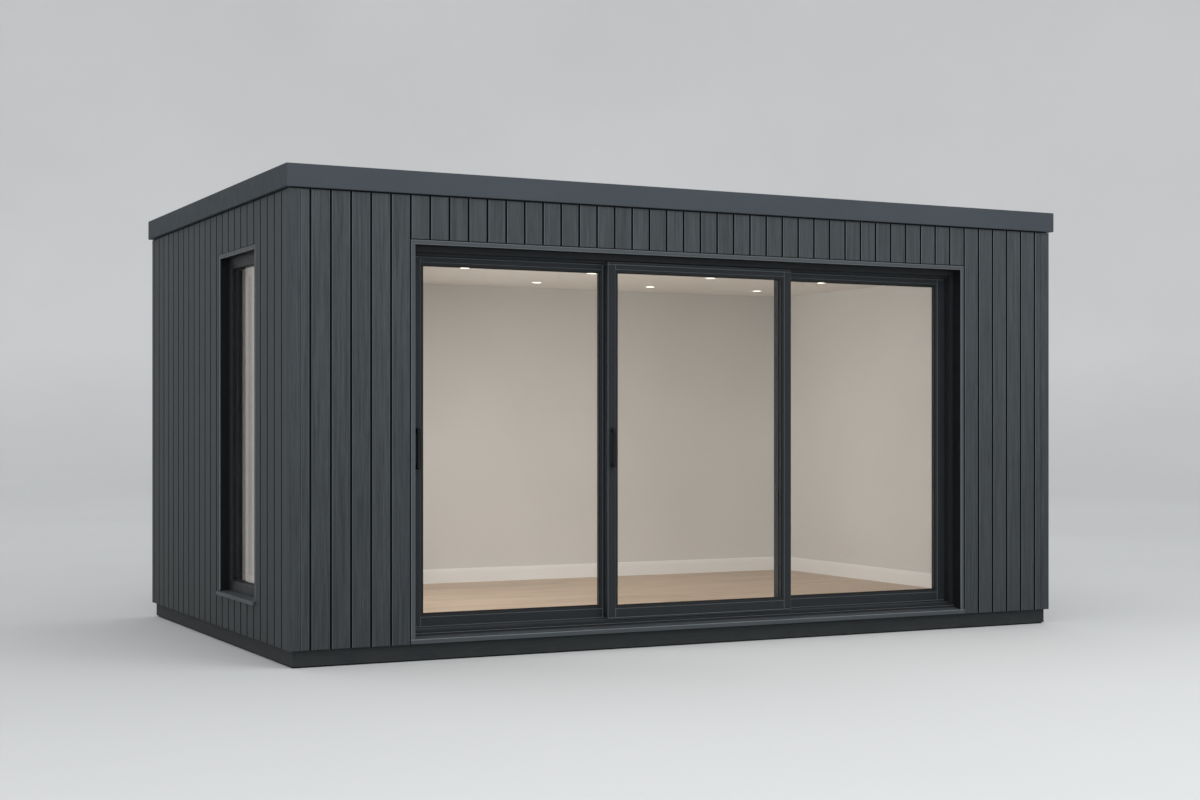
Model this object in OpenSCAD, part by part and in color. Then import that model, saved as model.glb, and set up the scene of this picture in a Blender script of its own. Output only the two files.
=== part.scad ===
// Garden office pod: a flat-roofed insulated room with a three-panel sliding door.
// X runs along the front, Y from the front to the back, Z up from the ground.
// The origin is on the ground, under the middle of the roof outline.
// The left and middle door panels slide towards +X on two tracks.

/* [Overall] */
// Width over the clad walls
walls_w = 4780; // [4200:10:6400]
// Depth over the clad walls
walls_d = 2900; // [2300:10:4200]

/* [Base and floor] */
// Gap between the back of the cladding and the plinth
plinth_gap = 2; // [0:1:20]
// Thickness of the plinth boards
plinth_t = 28; // [18:1:45]
// Height of the bottom edge of the cladding
cladding_bottom = 88; // [60:1:120]
// Top of the insulated floor panel and of the plinth boards
panel_top = 136; // [130:1:200]
// Thickness of the floor boards
floor_board_t = 14; // [8:1:22]

/* [Walls] */
// Thickness of the vertical cladding boards
cladding_t = 20; // [15:1:28]
// Thickness of the insulated wall core
core_t = 135; // [120:1:200]
// Thickness of the inner wall lining
lining_t = 15; // [9:1:25]
// Width of each leg of a corner trim
corner_trim_w = 60; // [40:1:90]
// Height of the skirting board
skirting_h = 95; // [60:1:150]
// Thickness of the skirting board
skirting_t = 15; // [9:1:22]

/* [Ceiling and lights] */
// Thickness of the ceiling board
ceiling_t = 15; // [9:1:25]
// Number of lights along the room
lights_across = 5; // [2:1:6]
// Number of rows of lights from front to back
lights_deep = 3; // [1:1:4]
// Spacing of the lights along the room
light_pitch_x = 850; // [500:10:850]
// Spacing of the rows of lights
light_pitch_y = 820; // [400:10:900]
// Diameter of a light's rim
light_d = 88; // [60:1:120]
// How far a light's rim stands below the ceiling
light_rim_t = 4; // [2:1:8]

/* [Roof] */
// Height of the fascia
fascia_h = 115; // [90:1:200]
// Thickness of the fascia, and how far it stands out from the cladding
fascia_t = 20; // [12:1:40]
// Thickness of the fascia's top flange
flange_t = 10; // [4:1:15]
// Width of the kerb round the roof
kerb_w = 60; // [40:1:100]
// Height of the kerb above the roof surface
kerb_h = 38; // [20:1:60]
// Depth of the insulated joists between the ceiling and the roof deck
roof_joist_h = 242; // [120:1:400]
// Thickness of the roof deck under the kerb
roof_deck_t = 40; // [18:1:80]
// Thickness of the roof membrane
membrane_t = 4; // [2:1:8]

/* [Sliding door] */
// Width of the door opening between its reveals
door_w = 3450; // [2800:10:3600]
// Height of the underside of the door's head reveal
door_head_z = 2130; // [1900:5:2400]
// Thickness of the surround boards, seen as a trim on the face
surround_t = 25; // [18:1:40]
// Depth of the reveal in front of the door frame
reveal_d = 72; // [60:1:90]
// How far the fixed door frame reaches behind the inner panels
frame_lip = 4; // [1:1:20]
// Thickness of each door jamb
jamb_t = 50; // [35:1:70]
// Height of the door frame's head
head_h = 57; // [40:1:80]
// Gap round a sliding panel
panel_gap = 6; // [5.5:0.1:8]
// Thickness of a door panel
panel_t = 40; // [32:1:42]
// Gap between the outer and the inner panels
track_gap = 10; // [8:1:14]
// How far neighbouring panels overlap
panel_overlap = 61; // [40:1:90]
// Width of a panel's stiles
stile_w = 60; // [45:1:90]
// Width of the inner panels' meeting stiles
meeting_stile_w = 82; // [60:1:110]
// Height of a panel's top rail
top_rail_h = 55; // [40:1:90]
// Height of a panel's bottom rail
bottom_rail_h = 71; // [50:1:120]
// Width of a track rib and of a guide rib
rib_w = 6; // [4:1:8]
// Height of a track rib and of a guide rib
rib_h = 8; // [6:1:10]
// Running clearance on each side of a rib
rib_clear = 5.5; // [5:0.1:7]
// Radius of a panel's wheels
wheel_r = 12; // [10:1:16]
// Clearance between a wheel and its rib
wheel_clear = 0.3; // [0.1:0.1:0.5]
// Thickness of a glazing unit
glass_t = 24; // [16:1:28]
// How deep the glass sits in its frame
glass_rebate = 10; // [6:1:15]
// Gap between the edge of the glass and its rebate
glass_edge_gap = 2; // [1:0.5:4]
// Height of the cill's underside above the bottom edge of the cladding
cill_lift = 2; // [0:1:8]
// Projection of the cill from the face of the cladding
cill_nose = 4; // [1:1:15]
// Height of the cill's front face
cill_face_h = 24; // [15:1:30]
// Rise of the cill from front to back
cill_rise = 9; // [3:1:10]
// Thickness of the cill's back upstand
cill_upstand_t = 10; // [6:1:15]

/* [Handles] */
// Length of a pull handle
handle_l = 210; // [140:5:400]
// Height of the middle of the handles
handle_z = 1085; // [900:5:1200]
// Width of a handle
handle_w = 20; // [14:1:28]
// Thickness of a handle's bar
handle_bar_t = 12; // [8:1:16]
// Clear gap behind the bar
handle_gap = 18; // [14:1:26]
// Length of each handle foot
handle_foot_l = 22; // [14:1:35]

/* [Side window] */
// Position of the window's middle, front to back
window_y = -502; // [-700:1:0]
// Width of the window opening between its reveals
window_w = 675; // [400:5:900]
// Height of the bottom of the window opening
window_bottom_z = 290; // [280:5:1000]
// Depth of the reveal in front of the window frame
window_reveal_d = 50; // [30:1:60]
// Depth of the window frame
window_frame_d = 70; // [50:1:75]
// Width of the window frame that shows inside the reveal
window_sight_w = 60; // [35:1:80]
// Projection of the window cill from the face of the cladding
window_cill_nose = 14; // [1:1:18]
// Thickness of the boards that line the window inside
liner_t = 12; // [9:1:18]

/* [Hidden] */
$fn = 48;

// A cut passes this far beyond the face it opens
cut = 5;

// Faces of the walls, measured from the middle
half_w = walls_w / 2;
half_d = walls_d / 2;
core_out_x = half_w - cladding_t;
core_out_y = half_d - cladding_t;
core_in_x = core_out_x - core_t;
core_in_y = core_out_y - core_t;
room_x = core_in_x - lining_t;
room_y = core_in_y - lining_t;

// Levels, from the floor up to the top of the fascia
floor_z = panel_top + floor_board_t;
ceiling_z = door_head_z + surround_t;
deck_z = ceiling_z + ceiling_t + roof_joist_h;
roof_z = deck_z + roof_deck_t;
flange_z = roof_z + kerb_h;
total_h = flange_z + flange_t;
plinth_inset = cladding_t + plinth_gap;

// Rough opening of the sliding door, shared by cladding, core and surround
rough_x = door_w / 2 + surround_t;
rough_top = ceiling_z;
frame_y = -half_d + reveal_d;
cill_bottom = cladding_bottom + cill_lift;
clear_x = rough_x - jamb_t;
clear_top = rough_top - head_h;

// Sliding panels
outer_y = frame_y + panel_gap;
inner_y = outer_y + panel_t + track_gap;
frame_back_y = inner_y + panel_t + frame_lip;
panel_w = (2 * (clear_x - panel_gap) + 2 * panel_overlap) / 3;
panel_bottom = floor_z + panel_gap;
panel_head = clear_top - panel_gap;
left_x = -clear_x + panel_gap;
middle_x = left_x + panel_w - panel_overlap;
right_x = middle_x + panel_w - panel_overlap;
groove_w = rib_w + 2 * rib_clear;
wheel_inset = 150;

// Side window
window_rough_w = window_w + 2 * surround_t;
window_rough_z = window_bottom_z - surround_t;
window_rough_top = rough_top;
window_bar_w = surround_t + window_sight_w;
window_face_x = -half_w + window_reveal_d;
window_back_x = window_face_x + window_frame_d;
window_glass_x = window_face_x + (window_frame_d - glass_t) / 2;

// Colours
charcoal = [0.27, 0.29, 0.31];
anthracite = [0.26, 0.28, 0.31];
black = [0.09, 0.09, 0.10];
plinth_grey = [0.16, 0.17, 0.18];
timber = [0.72, 0.60, 0.44];
oak = [0.74, 0.66, 0.55];
greige = [0.72, 0.69, 0.64];
white = [0.92, 0.91, 0.88];
glass_tint = [0.70, 0.78, 0.80, 0.35];

// A box from one corner to the opposite one
module span(low, high) {
    translate(low)
        cube(high - low);
}

// ---------- base and floor ----------

// The notch that seats the door cill, cut into the plinth and the floor panel
module cill_notch() {
    span([-rough_x, -half_d - cut, cill_bottom], [rough_x, frame_y, panel_top + cut]);
}

module plinth() {
    out_x = half_w - plinth_inset;
    out_y = half_d - plinth_inset;
    color(plinth_grey)
        difference() {
            span([-out_x, -out_y, 0], [out_x, out_y, panel_top]);
            span([-out_x + plinth_t, -out_y + plinth_t, -cut],
                 [out_x - plinth_t, out_y - plinth_t, panel_top + cut]);
            cill_notch();
        }
}

module floor_panel() {
    side = plinth_inset + plinth_t;
    color(timber)
        difference() {
            span([-half_w + side, -half_d + side, 0], [half_w - side, half_d - side, panel_top]);
            cill_notch();
        }
}

// The boards run up to the lining, and through the doorway to the back of the door frame
module floor_boards() {
    color(oak)
        difference() {
            union() {
                span([-room_x, -room_y, panel_top], [room_x, room_y, floor_z]);
                span([-rough_x, -core_out_y, panel_top], [rough_x, 0, floor_z]);
            }
            span([-rough_x, -half_d, panel_top - cut], [rough_x, frame_back_y, floor_z + cut]);
        }
}

// ---------- wall cores ----------

module front_pier_core(side) {
    color(timber)
        mirror([side > 0 ? 1 : 0, 0, 0])
            span([-core_out_x, -core_out_y, panel_top], [-rough_x, -core_in_y, deck_z]);
}

module wall_front_left() {
    front_pier_core(-1);
}

module wall_front_right() {
    front_pier_core(1);
}

module wall_front_header() {
    color(timber)
        span([-rough_x, -core_out_y, rough_top], [rough_x, -core_in_y, deck_z]);
}

module wall_back() {
    color(timber)
        span([-core_out_x, core_in_y, panel_top], [core_out_x, core_out_y, deck_z]);
}

// The rough opening of the side window, cut through one layer of the left wall
module window_cut(from_x, to_x) {
    span([from_x, window_y - window_rough_w / 2, window_rough_z],
         [to_x, window_y + window_rough_w / 2, window_rough_top]);
}

module wall_left() {
    color(timber)
        difference() {
            span([-core_out_x, -core_in_y, panel_top], [-core_in_x, core_in_y, deck_z]);
            window_cut(-core_out_x - cut, -core_in_x + cut);
        }
}

module wall_right() {
    color(timber)
        span([core_in_x, -core_in_y, panel_top], [core_out_x, core_in_y, deck_z]);
}

// ---------- cladding ----------

module front_pier_cladding(side) {
    color(charcoal)
        mirror([side > 0 ? 1 : 0, 0, 0])
            span([-half_w + corner_trim_w, -half_d, cladding_bottom], [-rough_x, -core_out_y, flange_z]);
}

module cladding_front_left() {
    front_pier_cladding(-1);
}

module cladding_front_right() {
    front_pier_cladding(1);
}

module cladding_front_header() {
    color(charcoal)
        span([-rough_x, -half_d, rough_top], [rough_x, -core_out_y, flange_z]);
}

module cladding_back() {
    color(charcoal)
        span([-half_w + corner_trim_w, core_out_y, cladding_bottom],
             [half_w - corner_trim_w, half_d, flange_z]);
}

module cladding_left() {
    color(charcoal)
        difference() {
            span([-half_w, -half_d + corner_trim_w, cladding_bottom],
                 [-core_out_x, half_d - corner_trim_w, flange_z]);
            window_cut(-half_w - cut, -core_out_x + cut);
        }
}

module cladding_right() {
    color(charcoal)
        span([core_out_x, -half_d + corner_trim_w, cladding_bottom],
             [half_w, half_d - corner_trim_w, flange_z]);
}

module corner_trims() {
    color(charcoal)
        for (sx = [0, 1], sy = [0, 1])
            mirror([sx, 0, 0])
                mirror([0, sy, 0])
                    translate([-half_w, -half_d, cladding_bottom])
                        linear_extrude(flange_z - cladding_bottom)
                            polygon([
                                [0, 0], [corner_trim_w, 0], [corner_trim_w, cladding_t],
                                [cladding_t, cladding_t], [cladding_t, corner_trim_w], [0, corner_trim_w]
                            ]);
}

// ---------- inside of the room ----------

module lining_front() {
    color(greige)
        for (side = [0, 1])
            mirror([side, 0, 0])
                span([-core_in_x, -core_in_y, panel_top], [-rough_x, -room_y, ceiling_z]);
}

module lining_back() {
    color(greige)
        span([-core_in_x, room_y, panel_top], [core_in_x, core_in_y, ceiling_z]);
}

module lining_left() {
    color(greige)
        difference() {
            span([-core_in_x, -room_y, panel_top], [-room_x, room_y, ceiling_z]);
            window_cut(-core_in_x - cut, -room_x + cut);
        }
}

module lining_right() {
    color(greige)
        span([room_x, -room_y, panel_top], [core_in_x, room_y, ceiling_z]);
}

module skirting() {
    color(white)
        difference() {
            span([-room_x, -room_y, floor_z], [room_x, room_y, floor_z + skirting_h]);
            span([-room_x + skirting_t, -room_y + skirting_t, floor_z - cut],
                 [room_x - skirting_t, room_y - skirting_t, floor_z + skirting_h + cut]);
            span([-rough_x, -room_y - cut, floor_z - cut],
                 [rough_x, -room_y + skirting_t + cut, floor_z + skirting_h + cut]);
        }
}

module ceiling() {
    color(white)
        span([-core_in_x, -core_in_y, ceiling_z], [core_in_x, core_in_y, ceiling_z + ceiling_t]);
}

module downlights() {
    color(white)
        for (i = [0 : lights_across - 1], j = [0 : lights_deep - 1])
            translate([
                (i - (lights_across - 1) / 2) * light_pitch_x,
                (j - (lights_deep - 1) / 2) * light_pitch_y,
                ceiling_z - light_rim_t
            ])
                cylinder(d = light_d, h = light_rim_t);
}

// ---------- roof ----------

// The insulated roof fills between the wall tops; its deck and kerb cover the walls
module roof_panel() {
    color(timber)
        difference() {
            union() {
                span([-core_in_x, -core_in_y, ceiling_z + ceiling_t], [core_in_x, core_in_y, deck_z]);
                span([-core_out_x, -core_out_y, deck_z], [core_out_x, core_out_y, flange_z]);
            }
            span([-core_out_x + kerb_w, -core_out_y + kerb_w, roof_z],
                 [core_out_x - kerb_w, core_out_y - kerb_w, flange_z + cut]);
        }
}

module roof_membrane() {
    color(plinth_grey)
        span([-core_out_x + kerb_w, -core_out_y + kerb_w, roof_z],
             [core_out_x - kerb_w, core_out_y - kerb_w, roof_z + membrane_t]);
}

// A mitred strip along the front edge: length over its outer edge, and its width
module mitred_strip(half_l, y_out, strip_w, height) {
    linear_extrude(height)
        polygon([
            [-half_l, y_out], [half_l, y_out],
            [half_l - strip_w, y_out + strip_w], [-half_l + strip_w, y_out + strip_w]
        ]);
}

// One side of the fascia, drawn along the front
module fascia_side(half_l, half_across) {
    y_out = -half_across - fascia_t;
    color(anthracite) {
        translate([0, 0, total_h - fascia_h])
            mitred_strip(half_l + fascia_t, y_out, fascia_t, fascia_h);
        translate([0, 0, flange_z])
            mitred_strip(half_l + fascia_t, y_out, fascia_t + cladding_t + kerb_w, flange_t);
    }
}

module fascia_front() {
    fascia_side(half_w, half_d);
}

module fascia_back() {
    rotate([0, 0, 180])
        fascia_side(half_w, half_d);
}

module fascia_left() {
    rotate([0, 0, -90])
        fascia_side(half_d, half_w);
}

module fascia_right() {
    rotate([0, 0, 90])
        fascia_side(half_d, half_w);
}

// ---------- sliding door: fixed frame ----------

// The cill's section, drawn along the whole width of the surround
module cill_solid() {
    translate([-rough_x, 0, 0])
        rotate([90, 0, 90])
            linear_extrude(2 * rough_x)
                polygon([
                    [-half_d - cill_nose, cill_bottom],
                    [frame_y, cill_bottom],
                    [frame_y, panel_top],
                    [frame_y - cill_upstand_t, panel_top],
                    [frame_y - cill_upstand_t, cill_bottom + cill_face_h + cill_rise],
                    [-half_d - cill_nose, cill_bottom + cill_face_h]
                ]);
}

module door_cill() {
    color(charcoal)
        cill_solid();
}

// The surround boards stand on the cill
module door_surround() {
    color(charcoal)
        difference() {
            span([-rough_x, -half_d, cill_bottom], [rough_x, frame_y, rough_top]);
            span([-rough_x + surround_t, -half_d - cut, cill_bottom - cut],
                 [rough_x - surround_t, frame_y + cut, door_head_z]);
            cill_solid();
        }
}

module track_rib(y, from_z, to_z) {
    middle_y = y + panel_t / 2;
    span([-clear_x, middle_y - rib_w / 2, from_z], [clear_x, middle_y + rib_w / 2, to_z]);
}

module door_frame() {
    color(black) {
        difference() {
            span([-rough_x, frame_y, floor_z], [rough_x, frame_back_y, rough_top]);
            span([-clear_x, frame_y - cut, floor_z - cut], [clear_x, frame_back_y + cut, clear_top]);
        }
        for (y = [outer_y, inner_y])
            track_rib(y, clear_top - panel_gap - rib_h, clear_top);
    }
}

module door_threshold() {
    color(black) {
        span([-rough_x, frame_y, panel_top], [rough_x, frame_back_y, floor_z]);
        for (y = [outer_y, inner_y])
            track_rib(y, floor_z, floor_z + rib_h);
    }
}

// ---------- sliding door: panels ----------

// Frame of one panel. A fixed panel stands on the threshold and meets the jamb.
module panel_frame(x, y, left_stile, right_stile, fixed = false) {
    bottom = fixed ? floor_z : panel_bottom;
    end_x = x + panel_w + (fixed ? panel_gap : 0);
    glass_bottom = panel_bottom + bottom_rail_h;
    glass_top = panel_head - top_rail_h;
    middle_y = y + panel_t / 2;
    color(black) {
        difference() {
            span([x, y, bottom], [end_x, y + panel_t, panel_head]);
            span([x + left_stile, y - cut, glass_bottom],
                 [x + panel_w - right_stile, y + panel_t + cut, glass_top]);
            span([x + left_stile - glass_rebate, middle_y - glass_t / 2, glass_bottom - glass_rebate],
                 [x + panel_w - right_stile + glass_rebate, middle_y + glass_t / 2, glass_top + glass_rebate]);
            span([x - cut, middle_y - groove_w / 2, bottom - cut],
                 [end_x + cut, middle_y + groove_w / 2, floor_z + rib_h + panel_gap]);
            span([x - cut, middle_y - groove_w / 2, clear_top - panel_gap - rib_h - panel_gap],
                 [end_x + cut, middle_y + groove_w / 2, panel_head + cut]);
        }
        for (wheel_x = [x + wheel_inset, x + panel_w - wheel_inset])
            translate([wheel_x, middle_y, floor_z + rib_h + wheel_clear + wheel_r])
                rotate([90, 0, 0])
                    cylinder(r = wheel_r, h = rib_w, center = true);
    }
}

module panel_glass(x, y, left_stile, right_stile) {
    grip = glass_rebate - glass_edge_gap;
    middle_y = y + panel_t / 2;
    color(glass_tint)
        span([x + left_stile - grip, middle_y - glass_t / 2, panel_bottom + bottom_rail_h - grip],
             [x + panel_w - right_stile + grip, middle_y + glass_t / 2, panel_head - top_rail_h + grip]);
}

// A bow handle on a panel's left stile
module panel_handle(x, y) {
    low_x = x + (stile_w - handle_w) / 2;
    low_z = handle_z - handle_l / 2;
    out = handle_gap + handle_bar_t;
    color(black)
        difference() {
            span([low_x, y - out, low_z], [low_x + handle_w, y, low_z + handle_l]);
            span([low_x - cut, y - handle_gap, low_z + handle_foot_l],
                 [low_x + handle_w + cut, y + cut, low_z + handle_l - handle_foot_l]);
        }
}

module left_panel_frame() {
    panel_frame(left_x, inner_y, stile_w, meeting_stile_w);
}

module left_panel_glass() {
    panel_glass(left_x, inner_y, stile_w, meeting_stile_w);
}

module left_panel_handle() {
    panel_handle(left_x, inner_y);
}

module middle_panel_frame() {
    panel_frame(middle_x, outer_y, stile_w, stile_w);
}

module middle_panel_glass() {
    panel_glass(middle_x, outer_y, stile_w, stile_w);
}

module middle_panel_handle() {
    panel_handle(middle_x, outer_y);
}

module right_panel_frame() {
    panel_frame(right_x, inner_y, meeting_stile_w, stile_w, fixed = true);
}

module right_panel_glass() {
    panel_glass(right_x, inner_y, meeting_stile_w, stile_w);
}

// ---------- side window ----------

// A rectangular ring in the left wall, a bar's width inside the rough opening
module window_ring(from_x, to_x, bar_w) {
    low_y = window_y - window_rough_w / 2;
    high_y = window_y + window_rough_w / 2;
    difference() {
        window_cut(from_x, to_x);
        span([from_x - cut, low_y + bar_w, window_rough_z + bar_w],
             [to_x + cut, high_y - bar_w, window_rough_top - bar_w]);
    }
}

module window_surround() {
    low_y = window_y - window_rough_w / 2;
    high_y = window_y + window_rough_w / 2;
    color(charcoal) {
        window_ring(-half_w, window_face_x, surround_t);
        span([-half_w - window_cill_nose, low_y, window_rough_z],
             [window_face_x, high_y, window_bottom_z]);
    }
}

module window_frame() {
    low_y = window_y - window_rough_w / 2 + window_bar_w - glass_rebate;
    high_y = window_y + window_rough_w / 2 - window_bar_w + glass_rebate;
    color(black)
        difference() {
            window_ring(window_face_x, window_back_x, window_bar_w);
            span([window_glass_x, low_y, window_rough_z + window_bar_w - glass_rebate],
                 [window_glass_x + glass_t, high_y, window_rough_top - window_bar_w + glass_rebate]);
        }
}

module window_glass() {
    inset = window_bar_w - glass_rebate + glass_edge_gap;
    color(glass_tint)
        span([window_glass_x, window_y - window_rough_w / 2 + inset, window_rough_z + inset],
             [window_glass_x + glass_t, window_y + window_rough_w / 2 - inset, window_rough_top - inset]);
}

module window_liner() {
    color(white)
        window_ring(window_back_x, -room_x, liner_t);
}

plinth();
floor_panel();
floor_boards();
wall_front_left();
wall_front_right();
wall_front_header();
wall_back();
wall_left();
wall_right();
cladding_front_left();
cladding_front_right();
cladding_front_header();
cladding_back();
cladding_left();
cladding_right();
corner_trims();
lining_front();
lining_back();
lining_left();
lining_right();
skirting();
ceiling();
downlights();
roof_panel();
roof_membrane();
fascia_front();
fascia_back();
fascia_left();
fascia_right();
door_surround();
door_frame();
door_threshold();
door_cill();
left_panel_frame();
left_panel_glass();
left_panel_handle();
middle_panel_frame();
middle_panel_glass();
middle_panel_handle();
right_panel_frame();
right_panel_glass();
window_surround();
window_frame();
window_glass();
window_liner();
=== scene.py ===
"""Garden office pod: boarded walls, a three-panel sliding door, a side window and a lit room."""
import math
import random

import bmesh
import bpy
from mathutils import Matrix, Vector


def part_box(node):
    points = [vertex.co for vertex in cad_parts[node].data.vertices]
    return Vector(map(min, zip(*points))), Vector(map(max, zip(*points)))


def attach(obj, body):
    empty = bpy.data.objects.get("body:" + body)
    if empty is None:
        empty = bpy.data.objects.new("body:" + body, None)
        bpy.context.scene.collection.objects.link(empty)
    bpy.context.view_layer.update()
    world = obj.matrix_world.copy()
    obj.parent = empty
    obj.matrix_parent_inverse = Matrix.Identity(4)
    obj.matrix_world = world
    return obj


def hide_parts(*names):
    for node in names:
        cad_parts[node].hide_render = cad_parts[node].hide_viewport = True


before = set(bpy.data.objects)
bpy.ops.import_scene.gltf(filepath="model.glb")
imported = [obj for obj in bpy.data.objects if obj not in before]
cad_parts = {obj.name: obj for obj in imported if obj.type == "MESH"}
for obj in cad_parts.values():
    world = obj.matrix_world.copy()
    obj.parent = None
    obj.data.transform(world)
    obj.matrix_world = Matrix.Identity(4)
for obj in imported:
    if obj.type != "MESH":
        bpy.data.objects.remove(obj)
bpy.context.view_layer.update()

MM = 0.001
UP = Vector((0, 0, 1))
BUILDING = "building"
SLIDING_PANELS = ("left_panel", "middle_panel")
ARRIS_ANGLE = math.radians(28)
SMOOTH_ANGLE = math.radians(32)
chance = random.Random(11)


# ---------- sizes and settings that the frame's boxes don't give ----------

FRONT_GROOVE = 12 * MM
SIDE_GROOVE = 17 * MM
GROOVE_DEPTH = 12 * MM
FRONT_ARRIS = 2.4 * MM
SIDE_ARRIS = 1.2 * MM
BOARD_END_EASE = 2.5 * MM
HAIRLINE = 0.6 * MM
BOARD_CLEARANCE = 2 * MM
HEADER_CLEARANCE = 1.5 * MM
CORNER_JOINT = 3 * MM
SHADOW_GAP = 6 * MM
FRONT_PITCH = 106 * MM
FRONT_EDGE_STRIP = 50 * MM
SIDE_EDGE_STRIP = 70 * MM
SIDE_BOARDS = 22
HEADER_BOARDS = 33
BOARD_TONE_SWING = 0.05

PLINTH_T = 28 * MM
DAMP_COURSE_H = 7 * MM
DAMP_COURSE_SETBACK = 9 * MM
SHEET_FOLD = 3 * MM
FLANGE_T = 10 * MM
FASCIA_T = 20 * MM
MITRE_GAP = 0.8 * MM

SURROUND_T = 25 * MM
SILL_FALL = 5 * MM
CILL_FACE_H = 24 * MM
CILL_RISE = 9 * MM
CILL_UPSTAND_T = 10 * MM
DRIP_AT = 10 * MM
DRIP_W = 6 * MM
CHANNEL_DEPTH = 4 * MM
CHANNEL_HALF_W = 11 * MM
JAMB_W = 50 * MM
HEAD_H = 57 * MM
PANEL_GAP = 6 * MM
RIB_W = 6 * MM
RIB_H = 8 * MM
RIB_SLOT = 17 * MM
GLASS_GRIP = 8 * MM
SHEET_GLASS = 4 * MM
BEAD_W = 14 * MM
WINDOW_BAR = 85 * MM
LINER_T = 12 * MM

SKIRTING_T = 15 * MM
LIGHTS_ACROSS = 5
LIGHTS_DEEP = 3
LIGHT_R = 44 * MM
LENS_SHARE = 0.72
PLANK_W = 192 * MM
PLANK_L = 1285 * MM
PLANK_EASE = 1.0 * MM
PLANK_STAGGER = 0.37
PLANK_TONE_SWING = 0.085
MEMBRANE_SHEETS = 5
MEMBRANE_LAP = 80 * MM
SEAM_W = 45 * MM
UPSTAND_STRIP_W = 72 * MM


# ---------- making meshes ----------

def loft(bm, rings, closed=False, finishes=0):
    """Skins a run of outlines that have as many points each, and caps both ends unless it is closed."""
    rows = [[bm.verts.new(point) for point in ring] for ring in rings]
    count = len(rows[0])
    pairs = list(zip(rows, rows[1:]))
    if closed:
        pairs.append((rows[-1], rows[0]))
    for near, far in pairs:
        for i in range(count):
            j = (i + 1) % count
            face = bm.faces.new((near[i], near[j], far[j], far[i]))
            face.material_index = finishes if isinstance(finishes, int) else finishes[i]
    if not closed:
        cap_finish = finishes if isinstance(finishes, int) else finishes[0]
        for row in (rows[0], rows[-1]):
            bm.faces.new(row).material_index = cap_finish
    return rows


def bar(bm, low, high, finish=0):
    """A straight bar between two opposite corners."""
    corners = rectangle(low, high)
    loft(bm, [[Vector((x, y, z)) for x, y in corners] for z in (low[2], high[2])], finishes=finish)


def run(bm, section, start, stop, place, finishes=0):
    """A section of (u, v) points drawn out straight; place(along, u, v) puts a point in the frame."""
    loft(bm, [[place(at, u, v) for u, v in section] for at in (start, stop)], finishes=finishes)


def left_of(start, stop):
    """The unit direction to the left of a flat step."""
    da, db = stop[0] - start[0], stop[1] - start[1]
    length = math.hypot(da, db)
    return (-db / length, da / length)


def sweep(bm, path, section, place, closed=False, finishes=0, foot=None):
    """Runs a section along a flat path, mitred at its turns.

    The path holds (a, b) points, and the section (inset, depth) points with inset to the path's left.
    place(a, b, depth) puts a point in the frame, and foot(depth) gives the b at which both ends stop.
    """
    last = len(path) - 1
    rings = []
    for i, here in enumerate(path):
        sides = []
        if closed or i > 0:
            sides.append(left_of(path[i - 1], here))
        if closed or i < last:
            sides.append(left_of(here, path[(i + 1) % len(path)]))
        first, second = sides[0], sides[-1]
        share = 1 + first[0] * second[0] + first[1] * second[1]
        da, db = (first[0] + second[0]) / share, (first[1] + second[1]) / share
        ring = []
        for inset, depth in section:
            b = foot(depth) if foot and i in (0, last) else here[1] + db * inset
            ring.append(place(here[0] + da * inset, b, depth))
        rings.append(ring)
    loft(bm, rings, closed=closed, finishes=finishes)


def rectangle(low, high):
    """The corners of a rectangle, taken so that its inside lies to the left."""
    return [(low[0], low[1]), (high[0], low[1]), (high[0], high[1]), (low[0], high[1])]


def facing_door(x, z, y):
    """Places a point of an outline that is drawn looking at the front."""
    return Vector((x, y, z))


def facing_window(y, z, x):
    """Places a point of an outline that is drawn looking at the left wall."""
    return Vector((x, y, z))


def in_plan(x, y, z):
    """Places a point of a plan, or of a section that runs along X."""
    return Vector((x, y, z))


def arc(centre, radius, start, stop, steps):
    """Points along an arc, with its angles in degrees."""
    angles = [math.radians(start + (stop - start) * i / steps) for i in range(steps + 1)]
    return [(centre[0] + radius * math.cos(a), centre[1] + radius * math.sin(a)) for a in angles]


def ease_edges(bm, width, segments=2, finish=-1):
    """Takes the sharpness off every arris, in a finish of its own where one is given."""
    sharp = [e for e in bm.edges if e.is_manifold and e.calc_face_angle(0) > ARRIS_ANGLE]
    bmesh.ops.bevel(
        bm, geom=sharp, offset=width, segments=segments, profile=0.5, affect="EDGES",
        clamp_overlap=True, material=finish,
    )


def piece(name, bm, finishes, stands_for=(), body=BUILDING, ease=0.0, smooth=False):
    """Closes a mesh as a named piece on its body, in place of the frame's nodes that it stands for."""
    bmesh.ops.recalc_face_normals(bm, faces=bm.faces)
    if ease:
        ease_edges(bm, ease)
    mesh = bpy.data.meshes.new(name)
    bm.to_mesh(mesh)
    bm.free()
    for material in finishes:
        mesh.materials.append(material)
    if smooth:
        mesh.shade_smooth()
        mesh.set_sharp_from_angle(angle=SMOOTH_ANGLE)
    made = bpy.data.objects.new(name, mesh)
    bpy.context.scene.collection.objects.link(made)
    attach(made, body)
    if stands_for:
        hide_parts(*stands_for)


# ---------- making finishes ----------

def paint(red, green, blue):
    """A colour given as it reads on a paint chart, from 0 to 255, in the shader's own light values."""
    parts = [value / 255 for value in (red, green, blue)]
    linear = [p / 12.92 if p <= 0.04045 else ((p + 0.055) / 1.055) ** 2.4 for p in parts]
    return (*linear, 1.0)


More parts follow.
